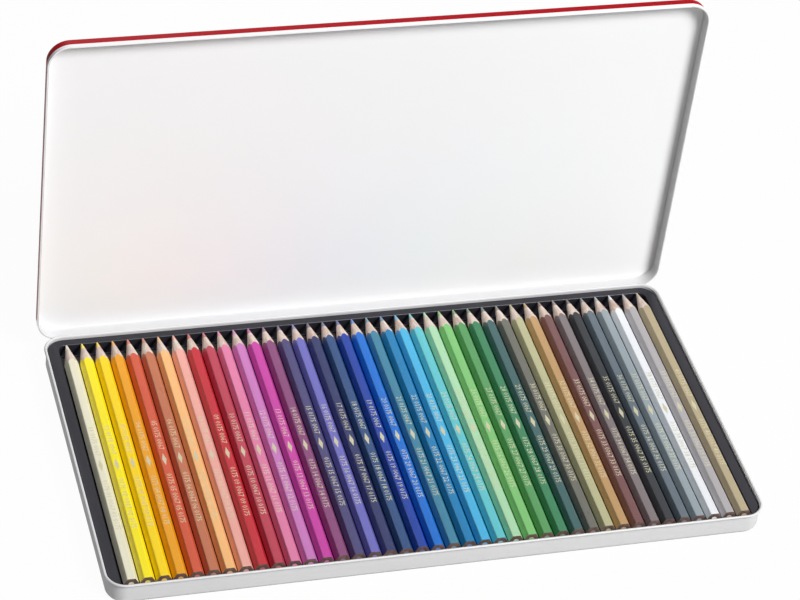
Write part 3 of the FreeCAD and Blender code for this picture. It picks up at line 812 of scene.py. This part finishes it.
class PENCILSET_OT_pencils(bpy.types.Operator):
    """Hexagonal lacquered pencils with sharpened wood, a coloured core and foil marks"""
    bl_idname = "pencil_set.pencils"
    bl_label = "Pencils"

    def execute(self, context):
        look = context.scene.pencil_set_pencil
        colours = context.scene.pencil_set_colours
        wood = cut_wood("sharpened_wood", look.wood, look.grain)
        # Sawn ends get end grain darkened further by painted shade
        end_wood = cut_wood("sawn_end_wood", look.end_wood, look.end_grain)
        foil = pressed_foil("pressed_foil", look.foil)
        master = self.make_pencil(look)
        sign = self.make_sign(look)
        settle(sign, foil)
        for number, node in enumerate(PENCIL_NODES, 1):
            colour_name = node.split("_", 2)[2]
            colour = getattr(colours, colour_name)
            low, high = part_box(node)
            across = (low.x + high.x) / 2
            pencil = self.copy_of(master, node + "_lacquered", across)
            lacquer = pencil_lacquer("pencil_lacquer_" + colour_name, colour)
            core = pencil_core("pencil_core_" + colour_name, blended(colour, look.wood, look.core_chalk))
            for slot, material in enumerate((lacquer, wood, core, end_wood)):
                pencil.material_slots[slot].material = material
            marks = [self.copy_of(sign, node + "_sign", across)]
            for words, start in ((FAR_FIGURES, look.far_figures), (NEAR_FIGURES, look.near_figures)):
                marks.append(self.make_figures(look, words.format(number), across, start))
                settle(marks[-1], foil)
            activate(pencil, *marks)
            bpy.ops.object.join()
            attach(pencil, node)
            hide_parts(node)
            "lacquer_" + colour_name
        for used in (master, sign):
            bpy.data.objects.remove(used)
        return {"FINISHED"}

    def copy_of(self, source, name, across):
        """A copy with its own mesh, set across the row."""
        activate(source)
        bpy.ops.object.duplicate(linked=False)
        copy = bpy.context.object
        copy.name = name
        copy.data.name = name
        copy.location.x = across
        bpy.ops.object.transform_apply()
        return copy

    def make_pencil(self, look):
        """One pencil in the middle of the row."""
        clear_selection()
        bpy.ops.mesh.primitive_cylinder_add(vertices=CASING_SIDES, radius=PENCIL_CORNER,
                                            depth=PENCIL_TIP - PENCIL_END,
                                            location=(0, (PENCIL_TIP + PENCIL_END) / 2, PENCIL_LEVEL),
                                            rotation=(QUARTER_TURN, QUARTER_TURN / 3, 0))
        bpy.ops.object.transform_apply()
        casing = new_piece("pencil_master")
        round_edges(lambda edge: abs(edge.verts[0].co.y - edge.verts[1].co.y) > PENCIL_CORNER,
                    look.edge_round, FINE_STEPS)
        drop_face(lambda face: face.normal.y < -FACING)
        bpy.ops.mesh.primitive_circle_add(vertices=CORE_SIDES, radius=look.core_radius,
                                          location=(0, PENCIL_END, PENCIL_LEVEL),
                                          rotation=(QUARTER_TURN, 0, 0), fill_type="NOTHING")
        choose("EDGE", level_with(1, PENCIL_END))
        bpy.ops.mesh.bridge_edge_loops()
        choose("EDGE", lambda edge: edge.is_boundary)
        bpy.ops.mesh.extrude_region_move(TRANSFORM_OT_translate={"value": (0, look.core_sink, 0)})
        bpy.ops.mesh.edge_face_add()
        tidy_normals()
        bpy.ops.object.mode_set(mode="OBJECT")
        for slot_name in ("lacquer", "wood", "core", "end_wood"):
            casing.data.materials.append(bpy.data.materials.new(slot_name + "_slot"))
        carve(casing, self.make_sharpener(look), "INTERSECT")
        self.paint_pencil(look, casing)
        activate(casing)
        bpy.ops.object.shade_smooth_by_angle(angle=FACET_ANGLE)
        return casing

    def cone_slope(self, look):
        """How fast the sharpened cone widens along the pencil."""
        return (PENCIL_FLATS / 2 - look.tip_radius) / look.cone_length

    def make_sharpener(self, look):
        """The space inside a sharpener: a cone with a wide bore behind it."""
        run = (PENCIL_FLATS - look.tip_radius) / self.cone_slope(look)
        clear_selection()
        bpy.ops.mesh.primitive_cone_add(vertices=CONE_SIDES, radius1=PENCIL_FLATS,
                                        radius2=look.tip_radius, depth=run,
                                        location=(0, PENCIL_TIP - run / 2, PENCIL_LEVEL),
                                        rotation=(-QUARTER_TURN, 0, 0))
        bpy.ops.object.transform_apply()
        tool = new_piece("sharpener_space")
        round_edges(level_with(1, PENCIL_TIP), look.tip_radius / 2, FINE_STEPS)
        choose("FACE", lambda face: face.normal.y < -FACING)
        bore = (0, PENCIL_END - PENCIL_TIP, 0)
        bpy.ops.mesh.extrude_region_move(TRANSFORM_OT_translate={"value": bore})
        tidy_normals()
        bpy.ops.object.mode_set(mode="OBJECT")
        return tool

    def paint_pencil(self, look, casing):
        """Lacquer on the flats, wood where it is cut, and the core at both ends."""
        slope = self.cone_slope(look)
        core_start = PENCIL_TIP - (look.core_radius - look.tip_radius) / slope

        def in_core(point):
            off_axis = math.hypot(point.x, point.z - PENCIL_LEVEL)
            at_end = point.y < PENCIL_END + 2 * look.core_sink
            return point.y > core_start or (at_end and off_axis < look.core_radius)

        activate(casing)
        bpy.ops.object.mode_set(mode="EDIT")
        bpy.ops.mesh.select_all(action="SELECT")
        bpy.ops.mesh.bisect(plane_co=(0, core_start, 0), plane_no=(0, 1, 0))
        choose("FACE", lambda face: True)
        paint_chosen(LACQUER)
        choose("FACE", lambda face: face.normal.y > slope / 2)
        paint_chosen(CUT_WOOD)
        choose("FACE", lambda face: face.normal.y < -slope / 2)
        paint_chosen(END_WOOD_WITH_PAINTED_SHADE)
        choose("FACE", lambda face: in_core(middle(face)))
        paint_chosen(CORE)
        bpy.ops.object.mode_set(mode="OBJECT")

    def make_sign(self, look):
        """A long foil diamond on the top flat."""
        clear_selection()
        bpy.ops.mesh.primitive_cylinder_add(vertices=DIAMOND_SIDES, radius=look.diamond_half,
                                            depth=2 * look.foil_sheet,
                                            location=(0, PENCIL_END + look.diamond, PENCIL_TOP),
                                            scale=(1, look.diamond_stretch, 1))
        bpy.ops.object.transform_apply()
        sign = bpy.context.object
        sign.name = "foil_sign"
        return sign

    def make_figures(self, look, words, across, start):
        """A run of foil figures on the top flat, read towards the flat end."""
        clear_selection()
        bpy.ops.object.text_add(location=(across, PENCIL_END + start, PENCIL_TOP),
                                rotation=(0, 0, -QUARTER_TURN))
        figures = bpy.context.object
        figures.data.body = words
        figures.data.size = look.figure_size
        figures.data.extrude = look.foil_sheet
        figures.data.align_y = "CENTER"
        figures.data.resolution_u = FIGURE_STEPS
        bpy.ops.object.convert(target="MESH")
        bpy.ops.object.transform_apply()
        bpy.ops.object.mode_set(mode="EDIT")
        bpy.ops.mesh.select_all(action="SELECT")
        bpy.ops.mesh.remove_doubles(threshold=look.foil_sheet / 10)
        bpy.ops.object.mode_set(mode="OBJECT")
        return figures


class PENCILSET_OT_stage(bpy.types.Operator):
    """Pale floor, soft lights, white surroundings and the camera"""
    bl_idname = "pencil_set.stage"
    bl_label = "Stage"

    def execute(self, context):
        look = context.scene.pencil_set_stage
        context.scene.view_settings.view_transform = "Standard"
        self.add_floor(look)
        self.add_light("key", look.key_place, look.key_power, look.key_size)
        self.add_light("back", look.back_place, look.back_power, look.back_size)
        self.light_world(context, look)
        self.add_camera(context, look)
        return {"FINISHED"}

    def seen(self, finish):
        """Rays that should meet the plain background."""
        straight, mirrored, through = (finish.node("LightPath", output=name) for name in
                                       ("Is Camera Ray", "Is Glossy Ray", "Is Transmission Ray"))
        return straight | mirrored | through

    def add_floor(self, look):
        """A plain floor that shows white and keeps the shadow."""
        clear_selection()
        bpy.ops.mesh.primitive_plane_add(size=2 * look.floor_half, location=(0, 0, -look.floor_drop))
        floor = bpy.context.object
        floor.name = "floor"
        material, finish = new_finish("pale_floor")
        matt = finish.node("BsdfDiffuse", {"Color": look.floor})
        plain = finish.node("Emission", {"Color": (1, 1, 1), "Strength": 1.0})
        glow = self.seen(finish) * look.floor_glow
        shader = finish.node("MixShader", {0: glow, 1: matt, 2: plain})
        finish.node("OutputMaterial", {"Surface": shader})
        floor.data.materials.append(material)

    def add_light(self, name, spot, power, side):
        """A soft square light that faces the middle of the object."""
        clear_selection()
        bpy.ops.object.light_add(type="AREA", location=spot)
        lamp = bpy.context.object
        lamp.name = name + "_light"
        lamp.data.energy = power
        lamp.data.size = side
        aim = (CAD_BOX[0] + CAD_BOX[1]) / 2 - Vector(spot)
        lamp.rotation_euler = aim.to_track_quat("-Z", "Y").to_euler()

    def light_world(self, context, look):
        """Surroundings that look white and give little light."""
        world = bpy.data.worlds.new("white_surroundings")
        world.use_nodes = True
        context.scene.world = world
        finish = Finish(world.node_tree)
        strength = self.seen(finish) * (1 - look.ambient) + look.ambient
        sky = finish.node("Background", {"Color": (1, 1, 1), "Strength": strength})
        finish.node("OutputWorld", {"Surface": sky})

    def add_camera(self, context, look):
        """The camera at the angle of the photograph."""
        clear_selection()
        bpy.ops.object.camera_add()
        camera = bpy.context.object
        camera.name = "photo_camera"
        back = Vector((math.sin(look.azimuth) * math.cos(look.elevation),
                       -math.cos(look.azimuth) * math.cos(look.elevation), math.sin(look.elevation)))
        right = Vector((0, 0, 1)).cross(back).normalized()
        up = back.cross(right)
        tilted_right = right * math.cos(look.roll) + up * math.sin(look.roll)
        tilted_up = up * math.cos(look.roll) - right * math.sin(look.roll)
        camera.matrix_world = Matrix((tilted_right, tilted_up, back)).transposed().to_4x4()
        camera.location = Vector(look.target) + back * look.distance
        camera.data.sensor_width = SENSOR_WIDTH
        camera.data.lens = look.lens
        camera.data.clip_start = NEAREST_VIEW
        camera.data.clip_end = FURTHEST_VIEW
        context.scene.camera = camera


class PENCILSET_PT_sidebar(bpy.types.Panel):
    """Buttons that build the pencil set, piece by piece"""
    bl_idname = "PENCILSET_PT_sidebar"
    bl_label = "Pencil set"
    bl_space_type = "VIEW_3D"
    bl_region_type = "UI"
    bl_category = "Pencil set"

    def draw(self, context):
        for operator in OPERATORS:
            self.layout.operator(operator.bl_idname)
        for name in LOOKS:
            group = getattr(context.scene, name)
            box = self.layout.box()
            for key in group.__annotations__:
                box.prop(group, key)


LOOKS = {
    "pencil_set_tin": TinLook,
    "pencil_set_lid": LidLook,
    "pencil_set_hinge": HingeLook,
    "pencil_set_tray": TrayLook,
    "pencil_set_pencil": PencilLook,
    "pencil_set_colours": PencilColours,
    "pencil_set_stage": StageLook,
}
OPERATORS = (PENCILSET_OT_tin_base, PENCILSET_OT_tin_lid, PENCILSET_OT_hinges, PENCILSET_OT_tray,
             PENCILSET_OT_pencils, PENCILSET_OT_stage)


def register():
    """Make the looks, operators and panel known."""
    for name, group in LOOKS.items():
        bpy.utils.register_class(group)
        setattr(bpy.types.Scene, name, bpy.props.PointerProperty(type=group))
    for known in (*OPERATORS, PENCILSET_PT_sidebar):
        bpy.utils.register_class(known)


def unregister():
    """Take them away again."""
    for known in (PENCILSET_PT_sidebar, *reversed(OPERATORS)):
        bpy.utils.unregister_class(known)
    for name, group in reversed(LOOKS.items()):
        delattr(bpy.types.Scene, name)
        bpy.utils.unregister_class(group)


def main():
    """Build every piece in order."""
    register()
    for operator in OPERATORS:
        family, name = operator.bl_idname.split(".")
        getattr(getattr(bpy.ops, family), name)()
    clear_selection()


if __name__ == "__main__":
    main()
